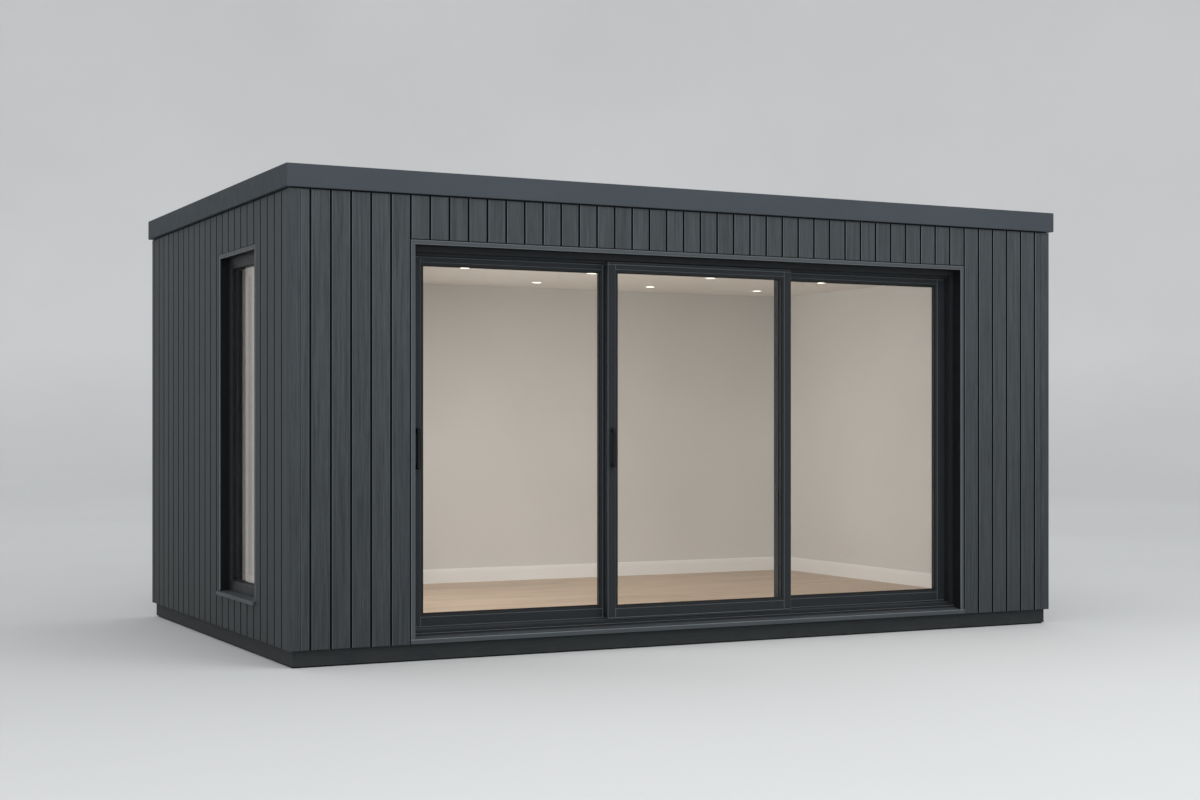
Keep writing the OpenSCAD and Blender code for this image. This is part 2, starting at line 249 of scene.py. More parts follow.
class Tree:
    """Places and joins the nodes of one material or one group."""

    def __init__(self, tree):
        self.tree = tree

    def add(self, kind, inputs=None, **settings):
        """A new node with its settings and inputs."""
        node = self.tree.nodes.new("ShaderNode" + kind)
        for key, value in settings.items():
            setattr(node, key, value)
        self.feed(node, inputs or {})
        return node

    def feed(self, node, inputs):
        """Gives each named input a link or a plain value."""
        for key, value in inputs.items():
            if isinstance(value, bpy.types.NodeSocket):
                self.join(value, node.inputs[key])
            else:
                node.inputs[key].default_value = value

    def join(self, value, socket):
        self.tree.links.new(value, socket)

    def group(self, tree, inputs):
        node = self.tree.nodes.new("ShaderNodeGroup")
        node.node_tree = tree
        self.feed(node, inputs)
        return node.outputs

    def math(self, operation, first, second, clamp=False):
        return self.add("Math", {0: first, 1: second}, operation=operation, use_clamp=clamp).outputs[0]

    def scaled(self, vector, by):
        """A vector or colour multiplied part by part."""
        return self.add("VectorMath", {0: vector, 1: by}, operation="MULTIPLY").outputs[0]

    def lit(self, colour, gain):
        """A colour made lighter or darker by one value."""
        return self.scaled(colour, self.add("CombineXYZ", {0: gain, 1: gain, 2: gain}).outputs[0])

    def blend(self, share, first, second):
        return self.add("Mix", {0: share, 6: first, 7: second}, data_type="RGBA").outputs[2]

    def spread(self, value, low, high, to_low=0.0, to_high=1.0):
        """A value taken from one range to another, and held inside it."""
        node = self.add("MapRange", {0: value, 1: low, 2: high, 3: to_low, 4: to_high})
        return node.outputs[0]

    def noise(self, position, scale, detail, roughness, distortion=0.0):
        inputs = {"Vector": position, "Scale": scale, "Detail": detail, "Roughness": roughness}
        inputs["Distortion"] = distortion
        return self.add("TexNoise", inputs).outputs["Fac"]


def new_group(name, inputs, outputs):
    """An empty node group, given its sockets as name: kind or name: (kind, default value)."""
    tree = bpy.data.node_groups.new(name, "ShaderNodeTree")
    for label, kind in inputs.items():
        kind, value = kind if isinstance(kind, tuple) else (kind, None)
        socket = tree.interface.new_socket(label, in_out="INPUT", socket_type="NodeSocket" + kind)
        if value is not None:
            socket.default_value = value
    for label, kind in outputs.items():
        tree.interface.new_socket(label, in_out="OUTPUT", socket_type="NodeSocket" + kind)
    source = tree.nodes.new("NodeGroupInput").outputs
    sink = tree.nodes.new("NodeGroupOutput").inputs
    return tree, Tree(tree), source, sink


def board_grain_group():
    """Long fibres that run along Z, as broad streaks and as fine ridges."""
    inputs = {"Position": "Vector", "Fineness": ("Float", 100.0), "Run": ("Float", 0.03)}
    outputs = {"Streaks": "Float", "Ridges": "Float"}
    tree, build, source, sink = new_group("Board Grain", inputs, outputs)
    across = source["Fineness"]
    along = build.math("MULTIPLY", across, source["Run"])
    stretch = build.add("CombineXYZ", {0: across, 1: across, 2: along})
    fibre = build.scaled(source["Position"], stretch.outputs[0])
    streaks = build.noise(fibre, 1.0, 5.0, 0.62, 0.25)
    ridges = build.noise(fibre, 4.3, 3.0, 0.6)
    build.join(build.spread(streaks, 0.3, 0.7), sink["Streaks"])
    build.join(build.spread(ridges, 0.32, 0.68), sink["Ridges"])
    return tree


def drift_group():
    """Lets a colour drift lighter and darker over patches of a given size."""
    inputs = {
        "Colour": "Color", "Position": "Vector", "Patches": ("Float", 2.0), "Amount": ("Float", 0.1),
    }
    tree, build, source, sink = new_group("Tone Drift", inputs, {"Colour": "Color"})
    patch = build.noise(source["Position"], source["Patches"], 4.0, 0.55)
    swing = build.math("MULTIPLY", build.spread(patch, 0.3, 0.7, -1.0, 1.0), source["Amount"])
    build.join(build.lit(source["Colour"], build.math("ADD", swing, 1.0)), sink["Colour"])
    return tree


def stipple_group():
    """The fine orange peel of a coating, from sprayed powder to roller paint."""
    inputs = {"Position": "Vector", "Fineness": ("Float", 400.0)}
    tree, build, source, sink = new_group("Fine Stipple", inputs, {"Height": "Float", "Patch": "Float"})
    height = build.noise(source["Position"], source["Fineness"], 3.0, 0.6)
    patch = build.noise(source["Position"], build.math("MULTIPLY", source["Fineness"], 0.02), 3.0, 0.5)
    build.join(height, sink["Height"])
    build.join(build.spread(patch, 0.3, 0.7), sink["Patch"])
    return tree


def dust_group():
    """Pale dust that settles on what faces up and splashes up near the ground."""
    inputs = {
        "Colour": "Color", "Position": "Vector", "Dust": ("Color", paint(150, 146, 138)),
        "Amount": ("Float", 0.2), "Splash Height": ("Float", 0.35),
    }
    tree, build, source, sink = new_group("Settled Dust", inputs, {"Colour": "Color", "Mask": "Float"})
    normal = build.add("NewGeometry").outputs["Normal"]
    facing = build.add("SeparateXYZ", {0: normal}).outputs[2]
    height = build.add("SeparateXYZ", {0: source["Position"]}).outputs[2]
    settled = build.spread(facing, 0.5, 1.0)
    rise = build.math("DIVIDE", height, source["Splash Height"])
    splash = build.math("SUBTRACT", 1.0, rise, clamp=True)
    splash = build.math("MULTIPLY", build.math("POWER", splash, 2.0), 0.5)
    patch = build.spread(build.noise(source["Position"], 7.0, 6.0, 0.65), 0.35, 0.75)
    cover = build.math("MULTIPLY", build.math("MAXIMUM", settled, splash), patch)
    mask = build.math("MULTIPLY", cover, source["Amount"], clamp=True)
    build.join(build.blend(mask, source["Colour"], source["Dust"]), sink["Colour"])
    build.join(mask, sink["Mask"])
    return tree


def board_tone_and_edge_light_group():
    """Gives a board its own tone, paints shade down in its grooves and paints a highlight on its
    arrises; on planks the groove colour marks the dark joints.
    """
    inputs = {
        "Colour": "Color", "Tone": "Float", "Edge Shade": "Float",
        "Groove Shade And Joint Colour": "Color", "Arris Highlight Colour": "Color",
        "Groove Shade And Joint Share": ("Float", 0.9), "Arris Highlight Share": ("Float", 0.5),
    }
    tree, build, source, sink = new_group("Board Tone And Edge Light", inputs, {"Colour": "Color"})
    shade = source["Edge Shade"]
    # Painted shade where the edge shade is positive (grooves), painted highlight where it is negative
    # (arrises).
    deep = build.math("MULTIPLY", shade, source["Groove Shade And Joint Share"], clamp=True)
    raised = build.math("MULTIPLY", shade, -1.0)
    arris_highlight = build.math("MULTIPLY", raised, source["Arris Highlight Share"], clamp=True)
    colour = build.lit(source["Colour"], build.math("ADD", source["Tone"], 1.0))
    colour = build.blend(deep, colour, source["Groove Shade And Joint Colour"])
    build.join(build.blend(arris_highlight, colour, source["Arris Highlight Colour"]), sink["Colour"])
    return tree


BOARD_GRAIN = board_grain_group()
TONE_DRIFT = drift_group()
FINE_STIPPLE = stipple_group()
SETTLED_DUST = dust_group()
BOARD_TONE_AND_EDGE_LIGHT = board_tone_and_edge_light_group()


def new_finish(name, metallic=0.0, **constants):
    """A material with one Principled shader, whose plain values are set on its own sockets."""
    material = bpy.data.materials.new(name)
    material.use_nodes = True
    build = Tree(material.node_tree)
    shader = material.node_tree.nodes["Principled BSDF"]
    shader.inputs["Metallic"].default_value = metallic
    for label, value in constants.items():
        shader.inputs[label.replace("_", " ")].default_value = value
    return material, build, shader


def bump(build, shader, height, distance, strength):
    """Raises the surface by a height map; the distance is in metres."""
    node = build.add("Bump", {"Height": height, "Distance": distance, "Strength": strength})
    build.join(node.outputs[0], shader.inputs["Normal"])


def at_rest(build):
    """Where a point lies in the frame."""
    return build.add("TexCoord").outputs["Object"]


def laid_along(build, position):
    """A place turned so that grain which stands upright runs along the front instead."""
    quarter = {"Vector": position, "Angle": math.pi / 2}
    return build.add("VectorRotate", quarter, rotation_type="Y_AXIS").outputs[0]


def mark(build, name):
    """A value that the points of a board carry."""
    return build.add("Attribute", attribute_name=name).outputs["Fac"]


def on_board(build):
    """Where a point lies on its own board, so that no two boards carry the same grain."""
    shift = build.add("Attribute", attribute_name="grain_at").outputs["Vector"]
    return build.add("VectorMath", {0: at_rest(build), 1: shift}, operation="ADD").outputs[0]


def brushed_board_finish():
    """Charcoal composite boards with a brushed grain, with painted shade low down and painted light
    high up.
    """
    material, build, shader = new_finish("brushed_board", Specular_IOR_Level=0.2)
    grain = build.group(BOARD_GRAIN, {"Position": on_board(build), "Fineness": 95.0, "Run": 0.028})
    colour = build.blend(grain["Streaks"], paint(53, 57, 60), paint(72, 77, 80))
    colour = build.lit(colour, build.spread(grain["Ridges"], 0.0, 1.0, 0.84, 1.14))
    # Near-black painted shade in the grooves and a pale painted highlight on the arrises.
    toned_and_edge_lit = build.group(BOARD_TONE_AND_EDGE_LIGHT, {
        "Colour": colour, "Tone": mark(build, "board_tone"), "Edge Shade": mark(build, "edge_shade"),
        "Groove Shade And Joint Colour": paint(6, 7, 8), "Arris Highlight Colour": paint(124, 131, 136),
        "Groove Shade And Joint Share": 0.98, "Arris Highlight Share": 0.9,
    })
    # Painted light: the boards get darker towards the ground and lighter towards the top.
    height = build.add("SeparateXYZ", {0: at_rest(build)}).outputs[2]
    colour = build.lit(toned_and_edge_lit["Colour"], build.spread(height, 0.1, 2.4, 0.8, 1.09))
    dusty = build.group(SETTLED_DUST, {"Colour": colour, "Position": at_rest(build), "Amount": 0.03})
    build.feed(shader, {"Base Color": dusty["Colour"]})
    build.feed(shader, {"Roughness": build.spread(grain["Streaks"], 0.0, 1.0, 0.5, 0.68)})
    bump(build, shader, grain["Ridges"], 0.5 * MM, 0.7)
    return material


def coated_finish(name, colour, roughness, dust=0.06, sheen=0.25, metallic=0.0):
    """Powder-coated metal: an even colour with a fine orange peel and a little dust."""
    material, build, shader = new_finish(name, metallic, Specular_IOR_Level=sheen)
    position = at_rest(build)
    peel = build.group(FINE_STIPPLE, {"Position": position, "Fineness": 700.0})
    drift = build.group(
        TONE_DRIFT, {"Colour": colour, "Position": position, "Patches": 1.3, "Amount": 0.05}
    )
    dusty = build.group(
        SETTLED_DUST, {"Colour": drift["Colour"], "Position": position, "Amount": dust}
    )
    rough = build.spread(peel["Patch"], 0.0, 1.0, roughness - 0.05, roughness + 0.06)
    dulled = build.math("ADD", rough, build.math("MULTIPLY", dusty["Mask"], 0.4))
    build.feed(shader, {"Base Color": dusty["Colour"], "Roughness": dulled})
    bump(build, shader, peel["Height"], 0.06 * MM, 0.5)
    return material


def rubber_finish():
    """Black glazing gasket with a dull bloom; the same black is used as painted shade on the damp
    course and the vent strip.
    """
    material, build, shader = new_finish("gasket_rubber_and_shade_black", Specular_IOR_Level=0.3)
    position = at_rest(build)
    bloom = build.group(FINE_STIPPLE, {"Position": position, "Fineness": 900.0})
    colour = build.blend(bloom["Patch"], paint(12, 13, 14), paint(22, 23, 24))
    build.feed(shader, {"Base Color": colour})
    build.feed(shader, {"Roughness": build.spread(bloom["Patch"], 0.0, 1.0, 0.6, 0.78)})
    bump(build, shader, bloom["Height"], 0.04 * MM, 0.6)
    return material


def drawn_metal_finish(name, colour, roughness, metallic):
    """Anodised extrusion with fine draw lines along the opening."""
    material, build, shader = new_finish(name, metallic)
    position = at_rest(build)
    lines = build.group(
        BOARD_GRAIN, {"Position": laid_along(build, position), "Fineness": 900.0, "Run": 0.004}
    )
    tinted = build.lit(colour[:3], build.spread(lines["Streaks"], 0.0, 1.0, 0.9, 1.1))
    dusty = build.group(SETTLED_DUST, {"Colour": tinted, "Position": position, "Amount": 0.25})
    rough = build.spread(lines["Ridges"], 0.0, 1.0, roughness, roughness + 0.12)
    build.feed(shader, {"Base Color": dusty["Colour"], "Roughness": rough})
    bump(build, shader, lines["Ridges"], 0.03 * MM, 0.4)
    return material


def glass_finish():
    """Clear glass that lets the daylight through to the room."""
    material, build, shader = new_finish("clear_glass", IOR=1.22, Transmission_Weight=1.0)
    position = at_rest(build)
    film = build.group(FINE_STIPPLE, {"Position": position, "Fineness": 60.0})
    tint = build.blend(film["Patch"], (0.995, 0.995, 0.99, 1.0), (0.985, 0.985, 0.98, 1.0))
    rough = build.spread(film["Patch"], 0.0, 1.0, 0.0, 0.012)
    build.feed(shader, {"Base Color": tint, "Roughness": rough})
    clear = build.add("BsdfTransparent", {"Color": (0.985, 0.985, 0.98, 1.0)}).outputs[0]
    ray = build.add("LightPath").outputs
    passing = build.math("MAXIMUM", ray["Is Shadow Ray"], ray["Is Diffuse Ray"])
    mixed = build.add("MixShader", {0: passing, 1: shader.outputs[0], 2: clear})
    output = next(n for n in build.tree.nodes if n.bl_idname == "ShaderNodeOutputMaterial")
    build.join(mixed.outputs[0], output.inputs["Surface"])
    return material


def room_paint_finish(name, colour, roughness, nap=420.0, depth=0.03 * MM):
    """Matt emulsion with the nap of a roller and a slow drift of tone."""
    material, build, shader = new_finish(name, Specular_IOR_Level=0.3)
    position = at_rest(build)
    roller = build.group(FINE_STIPPLE, {"Position": position, "Fineness": nap})
    drift = build.group(
        TONE_DRIFT, {"Colour": colour, "Position": position, "Patches": 1.1, "Amount": 0.025}
    )
    rough = build.spread(roller["Patch"], 0.0, 1.0, roughness - 0.04, roughness + 0.06)
    build.feed(shader, {"Base Color": drift["Colour"], "Roughness": rough})
    bump(build, shader, roller["Height"], depth, 0.5)
    return material


def oak_plank_finish():
    """Pale oak laminate with its grain along the room."""
    material, build, shader = new_finish("oak_plank", Specular_IOR_Level=0.4)
    lengthwise = laid_along(build, on_board(build))
    fine = build.group(BOARD_GRAIN, {"Position": lengthwise, "Fineness": 110.0, "Run": 0.03})
    broad = build.group(BOARD_GRAIN, {"Position": lengthwise, "Fineness": 22.0, "Run": 0.05})
    colour = build.blend(fine["Streaks"], paint(188, 162, 136), paint(230, 210, 188))
    colour = build.blend(build.math("MULTIPLY", broad["Streaks"], 0.65), colour, paint(174, 145, 117))
    toned_and_edge_lit = build.group(BOARD_TONE_AND_EDGE_LIGHT, {
        "Colour": colour, "Tone": mark(build, "board_tone"), "Edge Shade": mark(build, "edge_shade"),
        "Groove Shade And Joint Colour": paint(92, 72, 52), "Groove Shade And Joint Share": 0.6, "Arris Highlight Share": 0.0,
    })
    build.feed(shader, {"Base Color": toned_and_edge_lit["Colour"]})
    build.feed(shader, {"Roughness": build.spread(fine["Ridges"], 0.0, 1.0, 0.36, 0.5)})
    bump(build, shader, fine["Ridges"], 0.15 * MM, 0.5)
    return material


def composite_plinth_finish():
    """Dark recycled boards round the base, splashed near the ground."""
    material, build, shader = new_finish("plinth_board", Specular_IOR_Level=0.3)
    position = at_rest(build)
    level = laid_along(build, position)
    grain = build.group(BOARD_GRAIN, {"Position": level, "Fineness": 120.0, "Run": 0.05})
    colour = build.blend(grain["Streaks"], paint(33, 36, 38), paint(43, 47, 49))
    dusty = build.group(
        SETTLED_DUST, {"Colour": colour, "Position": position, "Amount": 0.12, "Splash Height": 0.1}
    )
    build.feed(shader, {"Base Color": dusty["Colour"]})
    build.feed(shader, {"Roughness": build.spread(grain["Streaks"], 0.0, 1.0, 0.62, 0.76)})
    bump(build, shader, grain["Ridges"], 0.3 * MM, 0.6)
    return material


def membrane_finish(name, colour):
    """Grey roofing sheet with a faint fabric print and dried puddles."""
    material, build, shader = new_finish(name, Specular_IOR_Level=0.3)
    position = at_rest(build)
    weave = build.group(FINE_STIPPLE, {"Position": position, "Fineness": 320.0})
    drift = build.group(
        TONE_DRIFT, {"Colour": colour, "Position": position, "Patches": 1.6, "Amount": 0.1}
    )
    dusty = build.group(SETTLED_DUST, {"Colour": drift["Colour"], "Position": position, "Amount": 0.22})
    build.feed(shader, {"Base Color": dusty["Colour"]})
    build.feed(shader, {"Roughness": build.spread(weave["Patch"], 0.0, 1.0, 0.62, 0.8)})
    bump(build, shader, weave["Height"], 0.3 * MM, 0.6)
    return material


def core_panel_finish():
    """Pressed strand board on the hidden cores, with its flakes lying at random."""
    material, build, shader = new_finish("strand_board", Specular_IOR_Level=0.25)
    position = at_rest(build)
    stretched = build.scaled(position, (40.0, 40.0, 90.0))
    flakes = build.add("TexVoronoi", {"Vector": stretched, "Scale": 1.0})
    tone = build.add("SeparateColor", {0: flakes.outputs["Color"]}).outputs[0]
    colour = build.blend(tone, paint(176, 139, 92), paint(214, 182, 132))
    drift = build.group(
        TONE_DRIFT, {"Colour": colour, "Position": position, "Patches": 6.0, "Amount": 0.12}
    )
    build.feed(shader, {"Base Color": drift["Colour"]})
    build.feed(shader, {"Roughness": build.spread(tone, 0.0, 1.0, 0.68, 0.82)})
    bump(build, shader, flakes.outputs["Distance"], 0.5 * MM, 0.5)
    return material


def lamp_finish():
    """Frosted lens of a downlight, brighter at its middle."""
    material, build, shader = new_finish("downlight_lens", Emission_Strength=5.0)
    position = at_rest(build)
    frost = build.group(FINE_STIPPLE, {"Position": position, "Fineness": 500.0})
    colour = build.blend(frost["Patch"], (1.0, 0.86, 0.68, 1.0), (1.0, 0.92, 0.78, 1.0))
    build.feed(shader, {"Base Color": colour, "Emission Color": colour})
    build.feed(shader, {"Roughness": build.spread(frost["Height"], 0.0, 1.0, 0.3, 0.6)})
    return material


BRUSHED_BOARD = brushed_board_finish()
FASCIA_COAT = coated_finish("fascia_coating", paint(68, 74, 79), 0.6, sheen=0.08)
TRIM_COAT = coated_finish("trim_coating", paint(70, 75, 79), 0.48)
# A lighter copy of the trim coating, used as a painted highlight on eased arrises.
TRIM_ARRIS_HIGHLIGHT = coated_finish("trim_arris_highlight", paint(112, 118, 122), 0.42)
CILL_COAT = coated_finish("cill_coating", paint(66, 71, 75), 0.45, dust=0.04)
# Near-black reveal coat: a dark lining that also paints shade into the reveals and rebates.
REVEAL_SHADE_COAT = coated_finish("reveal_shade_coating", paint(18, 20, 22), 0.5)
FRAME_COAT = coated_finish("frame_coating", paint(35, 39, 42), 0.45)
# A lighter copy of the frame coating, used as a painted highlight on eased arrises.
FRAME_ARRIS_HIGHLIGHT = coated_finish("frame_arris_highlight", paint(88, 94, 98), 0.38)
JAMB_COAT = coated_finish("jamb_coating", paint(30, 33, 36), 0.5)
BEAD_COAT = coated_finish("bead_coating", paint(30, 33, 35), 0.4)
HANDLE_COAT = coated_finish("handle_coating", paint(26, 28, 30), 0.34, dust=0.05, metallic=0.2)
GASKET_AND_SHADE_BLACK = rubber_finish()
TRACK_METAL = drawn_metal_finish("track_metal", paint(66, 69, 71), 0.34, 0.6)
SPACER_METAL = drawn_metal_finish("glass_spacer", paint(58, 60, 61), 0.5, 0.3)
CLEAR_GLASS = glass_finish()
WALL_PAINT = room_paint_finish("wall_paint", paint(216, 213, 209), 0.72)
CEILING_PAINT = room_paint_finish("ceiling_paint", paint(232, 229, 224), 0.8)
WHITE_PAINT = room_paint_finish("white_paint", paint(237, 235, 232), 0.42, nap=520.0, depth=0.05 * MM)
OAK_PLANK = oak_plank_finish()
PLINTH_BOARD = composite_plinth_finish()
MEMBRANE = membrane_finish("roof_membrane", paint(92, 96, 99))
SEAM_TAPE = membrane_finish("seam_tape", paint(62, 65, 68))
CORE_PANEL = core_panel_finish()
LAMP_LENS = lamp_finish()


# ---------- boards of the walls ----------

# The way along each side's wall, and the way out of it.
SIDES = {
    "front": ((1, 0, 0), (0, -1, 0)),
    "back": ((1, 0, 0), (0, 1, 0)),
    "left": ((0, 1, 0), (-1, 0, 0)),
    "right": ((0, 1, 0), (1, 0, 0)),
}


class Wall:
    """A node's outside face: points are placed by how far they lie across it, behind it and up."""

    def __init__(self, side, node, groove=FRONT_GROOVE, arris=FRONT_ARRIS):
        along, outward = SIDES[side]
        self.along = Vector(along)
        self.outward = Vector(outward)
        self.face = max(self.outward.dot(corner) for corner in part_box(node))
        self.groove = groove
        self.arris = arris

    def point(self, across, depth, z):
        """A place in the frame."""
        return self.along * across + self.outward * (self.face - depth) + UP * z


def new_board_mesh():
    """An empty mesh whose points carry their board's grain shift and tone, and their own edge shade."""
    bm = bmesh.new()
    bm.verts.layers.float_vector.new("grain_at")
    bm.verts.layers.float.new("board_tone")
    bm.verts.layers.float.new("edge_shade")
    return bm


def stamp(bm, rows, shades=None, grain=None, tone=None):
    """Marks a board's points; shades holds the edge shade of each point of its outline."""
    grain_at = bm.verts.layers.float_vector["grain_at"]
    tone_at = bm.verts.layers.float["board_tone"]
    shade_at = bm.verts.layers.float["edge_shade"]
    grain = grain or new_grain()
    tone = new_tone() if tone is None else tone
    for row in rows:
        for i, vert in enumerate(row):
            vert[grain_at] = grain
            vert[tone_at] = tone
            vert[shade_at] = shades[i] if shades else 0.0


def new_grain():
    """A chance shift that gives a board a grain of its own."""
    return Vector([chance.uniform(-20, 20) for _ in range(3)])


def new_tone(swing=BOARD_TONE_SWING):
    """A chance tone, lighter or darker by up to the swing."""
    return chance.uniform(-swing, swing)


def board_edge(thick, wall_at, arris):
    """One edge of a board, from its back to its face, as (across, depth, shade) points.

    The shade is 1 down in a groove, where shade is painted, and -1 on the arris, where a highlight is
    painted.
    """
    return [
        (0, thick, 1), (0, GROOVE_DEPTH, 1), (wall_at, GROOVE_DEPTH, 1),
        (wall_at, arris + MM, 1), (wall_at, arris, 0),
        (wall_at + 0.3 * arris, 0.3 * arris, -1), (wall_at + arris, 0, 0),
    ]


def cut_edge(thick):
    """A sawn edge, flush with what it meets."""
    return [(0, thick, 0), (0, 0, 0)]


def add_board(bm, wall, span, foot, top, thick, kinds, grain=None, tone=None):
    """One upright board over a span across the wall, with a kind of edge on its left and its right."""
    edges = {
        "groove": board_edge(thick, wall.groove / 2, wall.arris),
        "butt": board_edge(thick, CORNER_JOINT, wall.arris),
        "cut": cut_edge(thick),
    }
    low, high = span
    left, right = [edges[kind] for kind in kinds]
    outline = left + [(high - low - across, depth, shade) for across, depth, shade in reversed(right)]
    shades = [shade for _, _, shade in outline]
    eased = [(across, max(depth, BOARD_END_EASE), shade) for across, depth, shade in outline]
    levels = (
        (foot, eased), (foot + BOARD_END_EASE, outline),
        (top - BOARD_END_EASE, outline), (top, eased),
    )
    rows = loft(bm, [[wall.point(low + a, d, z) for a, d, _ in ring] for z, ring in levels])
    stamp(bm, rows, shades, grain, tone)


def even_lines(low, high, count):
    """Places that part a width into a count of equal shares."""
    return [low + (high - low) * i / count for i in range(count + 1)]


def lay_boards(bm, wall, lines, foot, top, thick, ends, hole):
    """Boards between the lines, with a board that meets the hole cut round it.

    The ends are the kinds of edge of the first and the last board, and the hole is None or its
    (low, high, foot, top) on the wall.
    """
    last = len(lines) - 2
    for i, (low, high) in enumerate(zip(lines, lines[1:])):
        left = ends[0] if i == 0 else "groove"
        right = ends[1] if i == last else "groove"
        if hole is None or high <= hole[0] or low >= hole[1]:
            add_board(bm, wall, (low, high), foot, top, thick, (left, right))
            continue
        grain, tone = new_grain(), new_tone()
        cuts = [low] + [at for at in hole[:2] if low < at < high] + [high]
        for start, stop in zip(cuts, cuts[1:]):
            kinds = (left if start == low else "cut", right if stop == high else "cut")
            middle = (start + stop) / 2
            spans = [(foot, top)]
            if hole[0] < middle < hole[1]:
                spans = [(foot, hole[2]), (hole[3], top)]
            for span_foot, span_top in spans:
                add_board(bm, wall, (start, stop), span_foot, span_top, thick, kinds, grain, tone)


def clad_walls():
    """Boards on every wall, set out from the corners, the doorway and the side window."""
    left_low, left_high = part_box("cladding_front_left")
    head_low, head_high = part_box("cladding_front_header")
    right_low, right_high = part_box("cladding_front_right")
    side_low, side_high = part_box("cladding_left")
    back_low, back_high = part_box("cladding_back")
    hole_low, hole_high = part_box("window_surround")
    front = Wall("front", "cladding_front_left")
    near_side = Wall("left", "cladding_left", SIDE_GROOVE, SIDE_ARRIS)
    far_side = Wall("right", "cladding_right", SIDE_GROOVE, SIDE_ARRIS)
    rear = Wall("back", "cladding_back")

    left_strip = left_low.x + FRONT_EDGE_STRIP
    right_strip = right_high.x - FRONT_EDGE_STRIP
    pier_boards = round((left_high.x - left_strip) / FRONT_PITCH)
    rear_boards = round((back_high.x - back_low.x) / FRONT_PITCH)
    left_lines = [left_low.x] + even_lines(left_strip, left_high.x, pier_boards)
    head_lines = even_lines(head_low.x, head_high.x, HEADER_BOARDS)
    right_lines = even_lines(right_low.x, right_strip, pier_boards) + [right_high.x]
    side_lines = [side_low.y] + even_lines(side_low.y + SIDE_EDGE_STRIP, side_high.y, SIDE_BOARDS)
    rear_lines = even_lines(back_low.x, back_high.x, rear_boards)

    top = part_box("fascia_front")[0].z - SHADOW_GAP
    thick = left_high.y - left_low.y
    hole = (hole_low.y, hole_high.y, hole_low.z, hole_high.z)
    from_corner, to_corner, between = ("butt", "groove"), ("groove", "butt"), ("groove", "groove")
    areas = (
        ("front_left", front, left_lines, from_corner, None),
        ("front_header", front, head_lines, between, None),
        ("front_right", front, right_lines, to_corner, None),
        ("left", near_side, side_lines, from_corner, hole),
        ("right", far_side, side_lines, from_corner, None),
        ("back", rear, rear_lines, between, None),
    )
    for area, wall, lines, ends, opening in areas:
        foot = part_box("cladding_" + area)[0].z
        if area == "front_header":
            foot += HEADER_CLEARANCE
        bm = new_board_mesh()
        lay_boards(bm, wall, lines, foot, top, thick, ends, opening)
        piece("boards_" + area, bm, [BRUSHED_BOARD], ["cladding_" + area])


def turn_corners():
    """Angle trims that close the four corners, with a soft outer arris."""
    low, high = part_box("corner_trims")
    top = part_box("fascia_front")[0].z - SHADOW_GAP
    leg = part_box("cladding_front_left")[0].x - low.x
    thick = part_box("cladding_front_left")[1].y - low.y
    soft = 2 * MM
    bm = new_board_mesh()
    outline = [(leg, thick), (thick, thick), (thick, leg), (0, leg)]
    outline += arc((soft, soft), soft, 180, 270, 4) + [(leg, 0)]
    for side_x, side_y in ((1, 1), (-1, 1), (-1, -1), (1, -1)):
        corner_x = low.x if side_x > 0 else high.x
        corner_y = low.y if side_y > 0 else high.y
        turned = [(corner_x + side_x * a, corner_y + side_y * b) for a, b in outline]
        rows = loft(bm, [[Vector((x, y, z)) for x, y in turned] for z in (low.z, top)])
        stamp(bm, rows)
    piece("corner_angles", bm, [BRUSHED_BOARD], ["corner_trims"])


# ---------- base and roof ----------

def board_plinth():
    """Upstand boards round the base, set back behind the cladding, on a recessed damp course whose
    black also stands in for painted shade along the foot.
    """
    low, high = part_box("plinth")
    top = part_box("cladding_back")[0].z - BOARD_CLEARANCE
    course_top = low.z + DAMP_COURSE_H
    soft = 2 * MM
    section = [
        (DAMP_COURSE_SETBACK, low.z), (DAMP_COURSE_SETBACK, course_top), (soft, course_top),
        (0, course_top + soft), (0, top), (PLINTH_T, top), (PLINTH_T, low.z),
    ]
    # The damp course takes the black gasket finish as painted shade under the boards.
    board, course = 0, 1
    finishes = [course] * 2 + [board] * 5
    bm = bmesh.new()
    sweep(bm, rectangle(low, high), section, in_plan, closed=True, finishes=finishes)
    piece("plinth_boards", bm, [PLINTH_BOARD, GASKET_AND_SHADE_BLACK], ["plinth"])


def fit_vent_shade_strip():
    """Black insect mesh in the shadow gap between the boards and the fascia, with a pleat along it; its
    black also stands in for painted shade under the fascia.
    """
    low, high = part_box("corner_trims")
    lap = 12 * MM
    strip_h = 30 * MM
    face, back = 12 * MM, 19.5 * MM
    pleat = 1.5 * MM
    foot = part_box("fascia_front")[0].z - SHADOW_GAP - lap
    top = foot + strip_h
    section = [
        (face, foot), (face + pleat, (foot + top) / 2), (face, top), (back, top), (back, foot),
    ]
    bm = bmesh.new()
    sweep(bm, rectangle(low, high), section, in_plan, closed=True)
    piece("vent_strip_painted_shade", bm, [GASKET_AND_SHADE_BLACK])


def fold_fascia():
    """Four folded sheets over backing boards: an upright face and a flange over the kerb."""
    front_low, front_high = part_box("fascia_front")
    flange_w = front_high.y - front_low.y
    foot, top = front_low.z, front_high.z
    half_long, half_short = front_high.x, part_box("fascia_left")[1].y
    hem = 1.5 * MM
    section = [(hem, foot), (0, foot + hem)]
    section += arc((SHEET_FOLD, top - SHEET_FOLD), SHEET_FOLD, 180, 90, 4)
    section += [(flange_w - hem, top), (flange_w, top - hem), (flange_w, top - FLANGE_T)]
    section += [(FASCIA_T, top - FLANGE_T), (FASCIA_T, foot)]
    for side in SIDES:
        wall = Wall(side, "fascia_" + side)
        reach = (half_long if side in ("front", "back") else half_short) - MITRE_GAP
        bm = bmesh.new()
        run(bm, section, -1, 1, lambda end, inset, z: wall.point(end * (reach - inset), inset, z))
        piece("fascia_sheet_" + side, bm, [FASCIA_COAT], ["fascia_" + side], smooth=True)


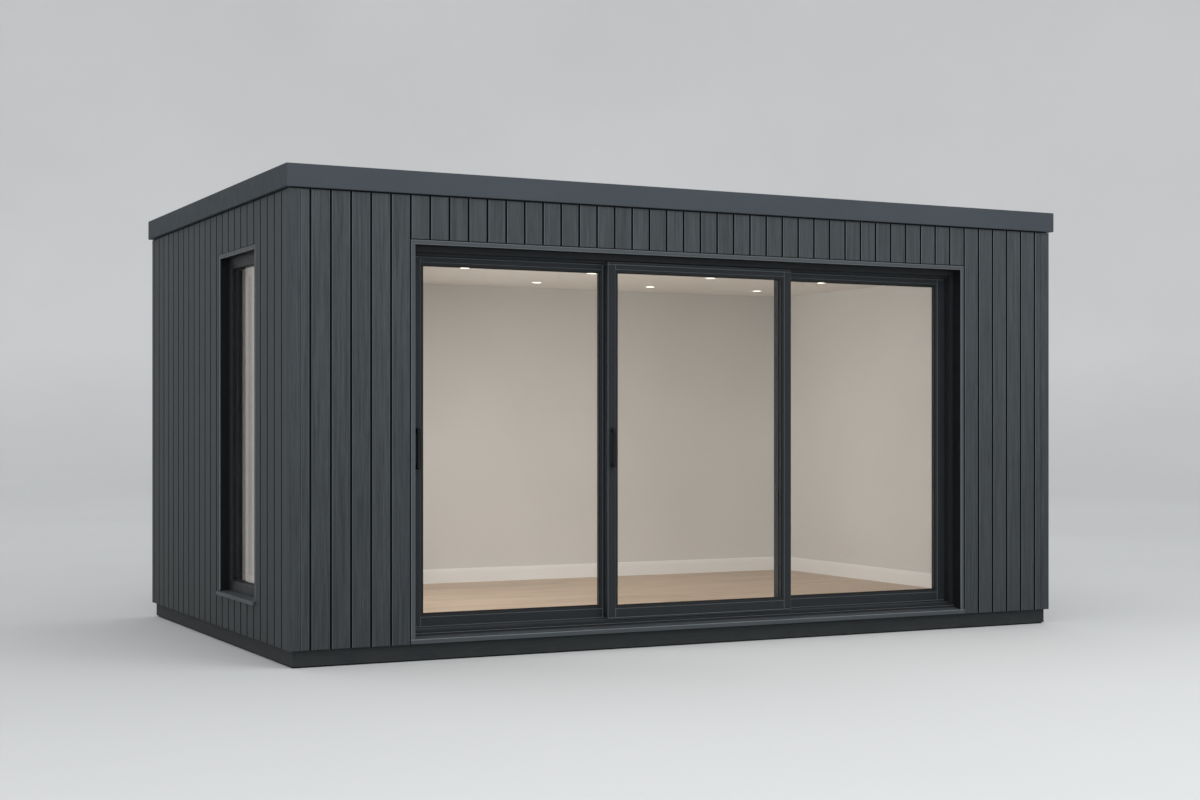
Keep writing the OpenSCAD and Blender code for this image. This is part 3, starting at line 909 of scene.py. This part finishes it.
def lay_membrane():
    """Roofing sheets lapped along the roof, dressed up the kerb."""
    low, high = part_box("roof_membrane")
    kerb_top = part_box("fascia_front")[1].z - FLANGE_T
    bm = bmesh.new()
    width = (high.x - low.x) / MEMBRANE_SHEETS
    sheet_t = 1.4 * MM
    seam_rise = 0.8 * MM
    for i in range(MEMBRANE_SHEETS):
        start = low.x + i * width
        stop = min(start + width + (MEMBRANE_LAP if i < MEMBRANE_SHEETS - 1 else 0), high.x)
        sunk = sheet_t if i % 2 == 0 else 0
        bar(bm, (start, low.y, low.z), (stop, high.y, high.z - sunk))
        if i > 0:
            seam = start + MEMBRANE_LAP
            bar(bm, (seam - SEAM_W, low.y, high.z - MM), (seam, high.y, high.z + seam_rise), 1)
    ease_edges(bm, 0.6 * MM, 1)
    skin = 2 * MM
    cove = 12 * MM
    section = [
        (0, low.z), (0, kerb_top), (skin, kerb_top), (skin, high.z + cove),
        (cove * 0.45, high.z + cove * 0.35), (cove, high.z + skin),
        (UPSTAND_STRIP_W - skin, high.z + skin), (UPSTAND_STRIP_W, high.z), (UPSTAND_STRIP_W, low.z),
    ]
    sweep(bm, rectangle(low, high), section, in_plan, closed=True)
    piece("roof_sheets", bm, [MEMBRANE, SEAM_TAPE], ["roof_membrane"])


# ---------- room ----------

def lay_floor():
    """Laminate planks in staggered rows along the room."""
    low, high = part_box("floor_boards")
    room_low = Vector((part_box("lining_left")[1].x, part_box("door_frame")[1].y, low.z))
    room_high = Vector((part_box("lining_right")[0].x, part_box("lining_back")[0].y, high.z))
    bm = new_board_mesh()
    row_low = room_low.y
    row = 0
    gap = HAIRLINE / 4
    while row_low < room_high.y - MM:
        row_high = min(row_low + PLANK_W, room_high.y)
        end = room_low.x - PLANK_L * ((row * PLANK_STAGGER) % 1)
        while end < room_high.x - MM:
            start, stop = max(end, room_low.x), min(end + PLANK_L, room_high.x)
            add_plank(bm, (start + gap, row_low + gap), (stop - gap, row_high - gap), low.z, high.z)
            end += PLANK_L
        row_low = row_high
        row += 1
    piece("floor_planks", bm, [OAK_PLANK], ["floor_boards"])


def add_plank(bm, low, high, foot, top):
    """One plank with its top edges eased; its sides are marked dark, as the lines of the joints."""
    if high[0] - low[0] < 4 * PLANK_EASE:
        return
    rings = []
    for inset, z in ((0, foot), (0, top - PLANK_EASE), (PLANK_EASE, top)):
        corners = rectangle((low[0] + inset, low[1] + inset), (high[0] - inset, high[1] - inset))
        rings.append([Vector((x, y, z)) for x, y in corners])
    rows = loft(bm, rings)
    stamp(bm, rows, grain=new_grain(), tone=new_tone(PLANK_TONE_SWING))
    shade_at = bm.verts.layers.float["edge_shade"]
    for vert in rows[0] + rows[1]:
        vert[shade_at] = 1.0


def fit_skirting():
    """Moulded skirting round three walls and up to each side of the doorway."""
    low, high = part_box("skirting")
    door_low, door_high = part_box("door_frame")
    step = SKIRTING_T - 1.5 * MM
    section = [
        (0, low.z), (SKIRTING_T, low.z), (SKIRTING_T, high.z - 22 * MM),
        (step, high.z - 20 * MM), (step, high.z - 14 * MM),
        (SKIRTING_T - 4 * MM, high.z - 5 * MM), (SKIRTING_T - 7 * MM, high.z), (0, high.z),
    ]
    path = [
        (door_high.x, low.y), (high.x, low.y), (high.x, high.y),
        (low.x, high.y), (low.x, low.y), (door_low.x, low.y),
    ]
    bm = bmesh.new()
    sweep(bm, path, section, in_plan)
    piece("skirting_moulding", bm, [WHITE_PAINT], ["skirting"], ease=0.5 * MM)


def fit_downlights():
    """Recessed lamps: a stepped rim round a frosted lens."""
    low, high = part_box("downlights")
    turned = 40
    rim = [
        (1.0, high.z), (1.0, low.z + 1.4 * MM), (0.96, low.z + 0.3 * MM), (0.9, low.z), (0.8, low.z),
        (0.76, low.z + 0.6 * MM), (LENS_SHARE, low.z + 2.6 * MM), (LENS_SHARE, high.z),
    ]
    lens = [(LENS_SHARE, low.z + 2.2 * MM), (LENS_SHARE, low.z + 3.2 * MM)]
    angles = [2 * math.pi * k / turned for k in range(turned)]
    spokes = [Vector((math.cos(angle), math.sin(angle), 0)) * LIGHT_R for angle in angles]
    bm = bmesh.new()
    for x in even_lines(low.x + LIGHT_R, high.x - LIGHT_R, LIGHTS_ACROSS - 1):
        for y in even_lines(low.y + LIGHT_R, high.y - LIGHT_R, LIGHTS_DEEP - 1):
            middle = Vector((x, y, 0))
            rings = [[middle + spoke * share + UP * z for share, z in rim] for spoke in spokes]
            loft(bm, rings, closed=True)
            discs = [[middle + spoke * share + UP * z for spoke in spokes] for share, z in lens]
            loft(bm, discs, finishes=1)
    piece("downlight_fittings", bm, [WHITE_PAINT, LAMP_LENS], ["downlights"], smooth=True)


# ---------- sliding door: fixed frame ----------

def cill_top_at(y):
    """Height of the sloping top of the door's cill at a depth."""
    low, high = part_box("door_cill")
    share = (y - low.y) / (high.y - CILL_UPSTAND_T - low.y)
    return low.z + CILL_FACE_H + CILL_RISE * min(max(share, 0), 1)


def fit_cill():
    """Pressed cill with a round nose, a drip groove and a back upstand."""
    low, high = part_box("door_cill")
    nose_top = low.z + CILL_FACE_H
    upstand = high.y - CILL_UPSTAND_T
    slope_top = cill_top_at(upstand)
    drip_out, drip_in = low.y + DRIP_AT, low.y + DRIP_AT + DRIP_W
    drip_top = low.z + 4 * MM
    soft = 3 * MM
    section = [
        (drip_in, low.z), (drip_in, drip_top), (drip_out, drip_top), (drip_out, low.z),
        (low.y + MM, low.z), (low.y, low.z + MM),
    ]
    section += arc((low.y + soft, nose_top - soft), soft, 180, 100, 4)
    section += [
        (upstand - 2 * MM, slope_top), (upstand, slope_top + 2 * MM), (upstand, high.z - MM),
        (upstand + MM, high.z), (high.y, high.z), (high.y, low.z),
    ]
    # The nose carries the trim's painted highlight, and the upstand the darker jamb coat as painted
    # shade.
    coat, arris, shade = 0, 1, 2
    sides = [coat] * 6 + [arris] * 4 + [coat, shade, shade, arris, shade, coat, coat]
    bm = bmesh.new()
    run(bm, section, low.x, high.x, in_plan, sides)
    finishes = [CILL_COAT, TRIM_ARRIS_HIGHLIGHT, JAMB_COAT]
    piece("door_cill_pressing", bm, finishes, ["door_cill"], smooth=True)


def upright_path(low, high):
    """Up the right side, across the top and down the left side, with the opening to the left."""
    return [(high[0], low[1]), (high[0], high[1]), (low[0], high[1]), (low[0], low[1])]


def surround_section(face, back):
    """A lining board seen on edge, as its outline and the finish of each side.

    Its face is parted from the boards by a rebate; the rebate and the sides take the near-black reveal
    coat, a dark lining that also paints shade into the reveal, and both arrises of the face carry a
    painted highlight.
    """
    soft = 2.6 * MM
    rebate = 3 * MM
    # The arrises take the painted highlight finish, and the sides and rebate the near-black reveal coat
    # as painted shade.
    trim, arris, reveal = 0, 1, 2
    outline = [
        (0, back), (0, face + rebate), (rebate, face + rebate), (rebate, face + soft),
        (rebate + soft, face), (SURROUND_T - soft, face), (SURROUND_T, face + soft), (SURROUND_T, back),
    ]
    return outline, [reveal, reveal, reveal, arris, trim, arris, reveal, reveal]


def fit_door_surround():
    """Lining boards up both sides and over the top of the doorway, standing on the cill's slope."""
    low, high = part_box("door_surround")
    section, finishes = surround_section(low.y, high.y)
    bm = bmesh.new()
    path = upright_path((low.x, low.z), (high.x, high.z))
    sweep(bm, path, section, facing_door, finishes=finishes, foot=cill_top_at)
    piece("door_surround_boards", bm, [TRIM_COAT, TRIM_ARRIS_HIGHLIGHT, REVEAL_SHADE_COAT], ["door_surround"])


def track_middles():
    """Depth of the middle of the outer and of the inner track."""
    outer_low, outer_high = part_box("middle_panel_frame")
    inner_low, inner_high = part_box("left_panel_frame")
    return (outer_low.y + outer_high.y) / 2, (inner_low.y + inner_high.y) / 2


def channelled_section(face, front, back):
    """A frame member on end, as (height, y) points: its inner face has a channel for each track."""
    points = [(0, front), (face - MM, front), (face, front + MM)]
    floor = face - CHANNEL_DEPTH
    for middle in track_middles():
        near, far = middle - CHANNEL_HALF_W, middle + CHANNEL_HALF_W
        points += [(face, near), (floor, near), (floor, far), (face, far)]
    return points + [(face, back - MM), (face - MM, back), (0, back)]


def fit_door_frame():
    """Fixed frame with a guide channel for each track and a rib that keeps each panel upright."""
    low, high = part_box("door_frame")
    head_foot = high.z - HEAD_H
    bm = bmesh.new()
    jamb = channelled_section(JAMB_W, low.y, high.y)
    for side, outer in ((1, low.x), (-1, high.x)):
        run(bm, jamb, low.z, head_foot, lambda z, u, y: Vector((outer + side * u, y, z)))
    head = channelled_section(HEAD_H, low.y, high.y)
    run(bm, head, low.x, high.x, lambda x, u, y: Vector((x, y, high.z - u)))
    rib_foot = head_foot - PANEL_GAP - RIB_H
    for middle in track_middles():
        rib_low = (low.x + JAMB_W, middle - RIB_W / 2, rib_foot)
        bar(bm, rib_low, (high.x - JAMB_W, middle + RIB_W / 2, head_foot))
    piece("door_frame_profiles", bm, [JAMB_COAT], ["door_frame"])


def fit_threshold():
    """Low threshold with a round-topped rib for the wheels of each panel, and drain slots between."""
    low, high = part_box("door_threshold")
    top = high.z - RIB_H
    soft = 1.5 * MM
    bevel = 4 * MM
    slot = 2 * MM
    section = [(low.y, low.z), (low.y, top - bevel), (low.y + bevel, top)]
    for middle in track_middles():
        near, far = middle - RIB_W / 2, middle + RIB_W / 2
        section += [(near - slot, top), (near - slot, top - slot), (near, top - slot)]
        section += [(near, high.z - soft), (near + soft, high.z)]
        section += [(far - soft, high.z), (far, high.z - soft)]
        section += [(far, top - slot), (far + slot, top - slot), (far + slot, top)]
    section += [(high.y, top), (high.y, low.z)]
    coat, metal = 0, 1
    finishes = [coat] * 3 + ([coat] * 2 + [metal] * 5 + [coat] * 3) * 2 + [coat] * 2
    bm = bmesh.new()
    run(bm, section, low.x, high.x, in_plan, finishes)
    piece("door_threshold_track", bm, [JAMB_COAT, TRACK_METAL], ["door_threshold"])


# ---------- sliding door: panels ----------

def add_beads(bm, sight, faces, glass_faces, place, finish):
    """Sloping beads that hold the glass, on both faces of a frame."""
    low = (sight[0][0] - BEAD_W, sight[0][1] - BEAD_W)
    high = (sight[1][0] + BEAD_W, sight[1][1] + BEAD_W)
    for face, glass in zip(faces, glass_faces):
        turn = MM if glass > face else -MM
        section = [
            (0.6 * MM, face + 1.6 * turn), (1.6 * MM, face + 0.8 * turn),
            (BEAD_W - 4 * MM, face + 2.6 * turn), (BEAD_W - 1 * MM, face + 4.2 * turn),
            (BEAD_W, face + 5.4 * turn), (BEAD_W, glass), (0.6 * MM, glass),
        ]
        sweep(bm, rectangle(low, high), section, place, closed=True, finishes=finish)


def add_gaskets(bm, sight, faces, glass_faces, place, finish):
    """Rubber wedges between the bead and the glass."""
    for face, glass in zip(faces, glass_faces):
        turn = MM if glass > face else -MM
        section = [
            (-1 * MM, glass - 3.2 * turn), (1.6 * MM, glass - 2.8 * turn),
            (3.6 * MM, glass - 1.2 * turn), (4.2 * MM, glass), (-1 * MM, glass),
        ]
        sweep(bm, rectangle(*sight), section, place, closed=True, finishes=finish)


def add_glass(name, body, place, low, high, depths):
    """A sealed unit: two sheets of glass held apart by a spacer."""
    near, far = depths
    corners = rectangle(low, high)
    panes = bmesh.new()
    for start in (near, far - SHEET_GLASS):
        faces = (start, start + SHEET_GLASS)
        loft(panes, [[place(a, b, depth) for a, b in corners] for depth in faces])
    piece(name + "_panes", panes, [CLEAR_GLASS], [name + "_glass"], body)
    seal = 0.2 * MM
    front, back = near + SHEET_GLASS + seal, far - SHEET_GLASS - seal
    section = [
        (1 * MM, front), (9.6 * MM, front), (10.4 * MM, front + MM),
        (10.4 * MM, back - MM), (9.6 * MM, back), (1 * MM, back),
    ]
    spacer = bmesh.new()
    sweep(spacer, corners, section, place, closed=True)
    piece(name + "_spacer", spacer, [SPACER_METAL], body=body)


def fit_panel(name, body):
    """One glazed panel: square stiles and rails, beads, gaskets and a sealed unit."""
    low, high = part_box(name + "_frame")
    glass_low, glass_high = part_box(name + "_glass")
    sight = (
        (glass_low.x + GLASS_GRIP, glass_low.z + GLASS_GRIP),
        (glass_high.x - GLASS_GRIP, glass_high.z - GLASS_GRIP),
    )
    left_in, right_in = sight[0][0] - BEAD_W, sight[1][0] + BEAD_W
    rail_top, head_foot = sight[0][1] - BEAD_W, sight[1][1] + BEAD_W
    threshold_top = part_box("door_threshold")[1].z
    rib_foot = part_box("door_frame")[1].z - HEAD_H - PANEL_GAP - RIB_H
    slot_top, slot_foot = threshold_top + PANEL_GAP, rib_foot - PANEL_GAP
    skirt = (high.y - low.y - RIB_SLOT) / 2
    joint = HAIRLINE / 2
    bm = bmesh.new()
    bar(bm, (low.x, low.y, slot_top), (left_in, high.y, slot_foot))
    bar(bm, (right_in, low.y, slot_top), (high.x, high.y, slot_foot))
    bar(bm, (left_in + joint, low.y, slot_top), (right_in - joint, high.y, rail_top))
    bar(bm, (left_in + joint, low.y, head_foot), (right_in - joint, high.y, slot_foot))
    for foot, top in ((low.z, slot_top), (slot_foot, high.z)):
        bar(bm, (low.x, low.y, foot), (high.x, low.y + skirt, top))
        bar(bm, (low.x, high.y - skirt, foot), (high.x, high.y, top))
    bmesh.ops.recalc_face_normals(bm, faces=bm.faces)
    # The eased arrises of the stiles and rails take the frame's painted highlight finish.
    bead, rubber, arris = 1, 2, 3
    ease_edges(bm, 2 * MM, finish=arris)
    faces = (low.y, high.y)
    glass_faces = (glass_low.y, glass_high.y)
    add_beads(bm, sight, faces, glass_faces, facing_door, bead)
    add_gaskets(bm, sight, faces, glass_faces, facing_door, rubber)
    finishes = [FRAME_COAT, BEAD_COAT, GASKET_AND_SHADE_BLACK, FRAME_ARRIS_HIGHLIGHT]
    piece(name + "_profiles", bm, finishes, [name + "_frame"], body)
    glass_span = ((glass_low.x, glass_low.z), (glass_high.x, glass_high.z))
    add_glass(name, body, facing_door, *glass_span, glass_faces)


def fit_handle(name, body):
    """A bow handle: a flat bar bent back to two feet, with soft corners."""
    low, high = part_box(name + "_handle")
    bar_t, foot_l = 12 * MM, 22 * MM
    outer, inner = 9 * MM, 4 * MM
    out, back = low.y, high.y
    inside = out + bar_t + inner
    outline = [(back, low.z)]
    outline += arc((out + outer, low.z + outer), outer, 270, 180, 6)
    outline += arc((out + outer, high.z - outer), outer, 180, 90, 6)
    outline += [(back, high.z), (back, high.z - foot_l)]
    outline += arc((inside, high.z - foot_l - inner), inner, 90, 180, 4)
    outline += arc((inside, low.z + foot_l + inner), inner, 180, 270, 4)
    outline.append((back, low.z + foot_l))
    bm = bmesh.new()
    run(bm, outline, low.x, high.x, in_plan)
    finishes, node = [HANDLE_COAT], [name + "_handle"]
    piece(name + "_bow_handle", bm, finishes, node, body, ease=1.6 * MM, smooth=True)


# ---------- side window ----------

def line_window():
    """Lining boards round the deep opening, on a sill that falls outwards and has a drip groove."""
    low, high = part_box("window_surround")
    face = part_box("cladding_left")[0].x
    sill_top = low.z + SURROUND_T
    bm = bmesh.new()
    section, finishes = surround_section(face, high.x)
    path = upright_path((low.y, low.z), (high.y, high.z))
    sweep(bm, path, section, facing_window, finishes=finishes, foot=lambda depth: sill_top)
    soft = 2.5 * MM
    nose_top = sill_top - SILL_FALL
    drip_out, drip_in = low.x + 9 * MM, low.x + 14 * MM
    drip_top = low.z + 3 * MM
    sill = [
        (low.x, low.z), (low.x, nose_top - soft), (low.x + soft, nose_top), (high.x, sill_top),
        (high.x, low.z), (drip_in, low.z), (drip_in, drip_top), (drip_out, drip_top), (drip_out, low.z),
    ]
    run(bm, sill, low.y, high.y, lambda y, x, z: Vector((x, y, z)))
    finishes = [TRIM_COAT, TRIM_ARRIS_HIGHLIGHT, REVEAL_SHADE_COAT]
    piece("window_surround_boards", bm, finishes, ["window_surround"])


def glaze_window():
    """Fixed frame with beads, gaskets and a sealed unit."""
    low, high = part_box("window_frame")
    glass_low, glass_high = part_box("window_glass")
    sight = (
        (low.y + WINDOW_BAR, low.z + WINDOW_BAR),
        (high.y - WINDOW_BAR, high.z - WINDOW_BAR),
    )
    bead_at = WINDOW_BAR - BEAD_W
    soft = 1.2 * MM
    section = [
        (0, low.x), (bead_at - soft, low.x), (bead_at, low.x + soft),
        (bead_at, high.x - soft), (bead_at - soft, high.x), (0, high.x),
    ]
    bm = bmesh.new()
    outline = rectangle((low.y, low.z), (high.y, high.z))
    sweep(bm, outline, section, facing_window, closed=True)
    faces = (low.x, high.x)
    glass_faces = (glass_low.x, glass_high.x)
    bead, rubber = 1, 2
    add_beads(bm, sight, faces, glass_faces, facing_window, bead)
    add_gaskets(bm, sight, faces, glass_faces, facing_window, rubber)
    piece("window_profiles", bm, [FRAME_COAT, BEAD_COAT, GASKET_AND_SHADE_BLACK], ["window_frame"])
    glass_span = ((glass_low.y, glass_low.z), (glass_high.y, glass_high.z))
    add_glass("window", BUILDING, facing_window, *glass_span, glass_faces)


def line_window_inside():
    """White boards round the window on the room's side."""
    low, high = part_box("window_liner")
    soft = 1.5 * MM
    section = [
        (0, low.x), (LINER_T, low.x), (LINER_T, high.x - soft), (LINER_T - soft, high.x), (0, high.x),
    ]
    bm = bmesh.new()
    outline = rectangle((low.y, low.z), (high.y, high.z))
    sweep(bm, outline, section, facing_window, closed=True)
    piece("window_lining", bm, [WHITE_PAINT], ["window_liner"])


def refinish_frame():
    """The frame's own nodes that no piece stands for take their painted and board finishes."""
    cores = (
        "floor_panel", "roof_panel", "wall_front_left", "wall_front_right",
        "wall_front_header", "wall_back", "wall_left", "wall_right",
    )
    linings = ("lining_front", "lining_back", "lining_left", "lining_right")
    finishes = ((cores, CORE_PANEL), (linings, WALL_PAINT), (("ceiling",), CEILING_PAINT))
    for nodes, material in finishes:
        for node in nodes:
            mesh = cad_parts[node].data
            mesh.materials.clear()
            mesh.materials.append(material)


# ---------- studio ----------

def studio_surface(name, floor_tone, wall_tone):
    """Pale painted studio board, barely cloudy, in a lighter tone up the wall."""
    material, build, shader = new_finish(name, Specular_IOR_Level=0.1, Roughness=0.9)
    position = at_rest(build)
    height = build.add("SeparateXYZ", {0: position}).outputs[2]
    colour = build.blend(build.spread(height, 0.0, 3.0), floor_tone, wall_tone)
    cloud = build.group(
        TONE_DRIFT, {"Colour": colour, "Position": position, "Patches": 0.15, "Amount": 0.03}
    )
    build.feed(shader, {"Base Color": cloud["Colour"]})
    return material


def set_stage():
    """A round floor that curves up into a plain wall on every side."""
    floor_r, curve_r, wall_h = 24.0, 14.0, 4.0
    turned = 96
    profile = [(0.05, 0.0), (8.0, 0.0), (16.0, 0.0), (floor_r, 0.0)]
    profile += arc((floor_r, curve_r), curve_r, 270, 360, 14)[1:]
    profile.append((floor_r + curve_r, curve_r + wall_h))
    bm = bmesh.new()
    rows = []
    for k in range(turned):
        angle = 2 * math.pi * k / turned
        rows.append([bm.verts.new((r * math.cos(angle), r * math.sin(angle), z)) for r, z in profile])
    for k in range(turned):
        near, far = rows[k], rows[(k + 1) % turned]
        for i in range(len(profile) - 1):
            bm.faces.new((near[i], near[i + 1], far[i + 1], far[i]))
    bm.faces.new([row[0] for row in rows])
    bmesh.ops.recalc_face_normals(bm, faces=bm.faces)
    mesh = bpy.data.meshes.new("studio_cove")
    bm.to_mesh(mesh)
    bm.free()
    mesh.shade_smooth()
    mesh.materials.append(studio_surface("studio_board", paint(214, 216, 217), paint(229, 230, 231)))
    cove = bpy.data.objects.new("studio_cove", mesh)
    bpy.context.scene.collection.objects.link(cove)


def soft_light(name, place, aim, width, depth, power, spread=180):
    """An area light that faces a point, kept out of gloss, glass and the picture."""
    lamp = bpy.data.lights.new(name, "AREA")
    lamp.shape = "RECTANGLE"
    lamp.size, lamp.size_y = width, depth
    lamp.energy = power
    lamp.spread = math.radians(spread)
    holder = bpy.data.objects.new(name, lamp)
    bpy.context.scene.collection.objects.link(holder)
    holder.location = place
    holder.rotation_euler = (Vector(aim) - Vector(place)).to_track_quat("-Z", "Y").to_euler()
    holder.visible_glossy = False
    holder.visible_transmission = False
    holder.visible_camera = False


def light_studio():
    """Soft daylight all round, two large softboxes outside and a small fill in the room."""
    world = bpy.data.worlds.new("studio_air")
    world.use_nodes = True
    backdrop = world.node_tree.nodes["Background"]
    backdrop.inputs["Color"].default_value = (1.0, 1.0, 1.0, 1.0)
    backdrop.inputs["Strength"].default_value = 0.82
    bpy.context.scene.world = world
    soft_light("high_softbox", (1.8, -6.5, 6.0), (0.9, -0.8, 1.8), 5, 2.5, 135)
    soft_light("front_softbox", (-4.0, -11.6, 3.8), (0, 0, 1.2), 8, 4, 365)
    soft_light("room_bounce", (-1.9, -0.15, 1.05), (2.2, -0.15, 0.75), 1.8, 1.3, 19, spread=115)


def set_camera():
    """A long lens to the left of the front, level and about chest high."""
    camera = bpy.data.cameras.new("studio_camera")
    camera.lens = 55.44
    camera.sensor_width = 36.0
    camera.shift_y = 0.0228
    camera.clip_end = 200
    holder = bpy.data.objects.new("studio_camera", camera)
    bpy.context.scene.collection.objects.link(holder)
    holder.location = (-5.1147, -10.2866, 1.1955)
    holder.rotation_euler = (math.pi / 2, 0, math.radians(-26.69))
    bpy.context.scene.camera = holder


clad_walls()
turn_corners()
board_plinth()
fit_vent_shade_strip()
fold_fascia()
lay_membrane()
lay_floor()
fit_skirting()
fit_downlights()
fit_cill()
fit_door_surround()
fit_door_frame()
fit_threshold()
for panel in SLIDING_PANELS:
    fit_panel(panel, panel)
fit_panel("right_panel", BUILDING)
for panel in SLIDING_PANELS:
    fit_handle(panel, panel)
line_window()
glaze_window()
line_window_inside()
refinish_frame()
set_stage()
light_studio()
set_camera()
bpy.context.scene.view_settings.view_transform = "Standard"
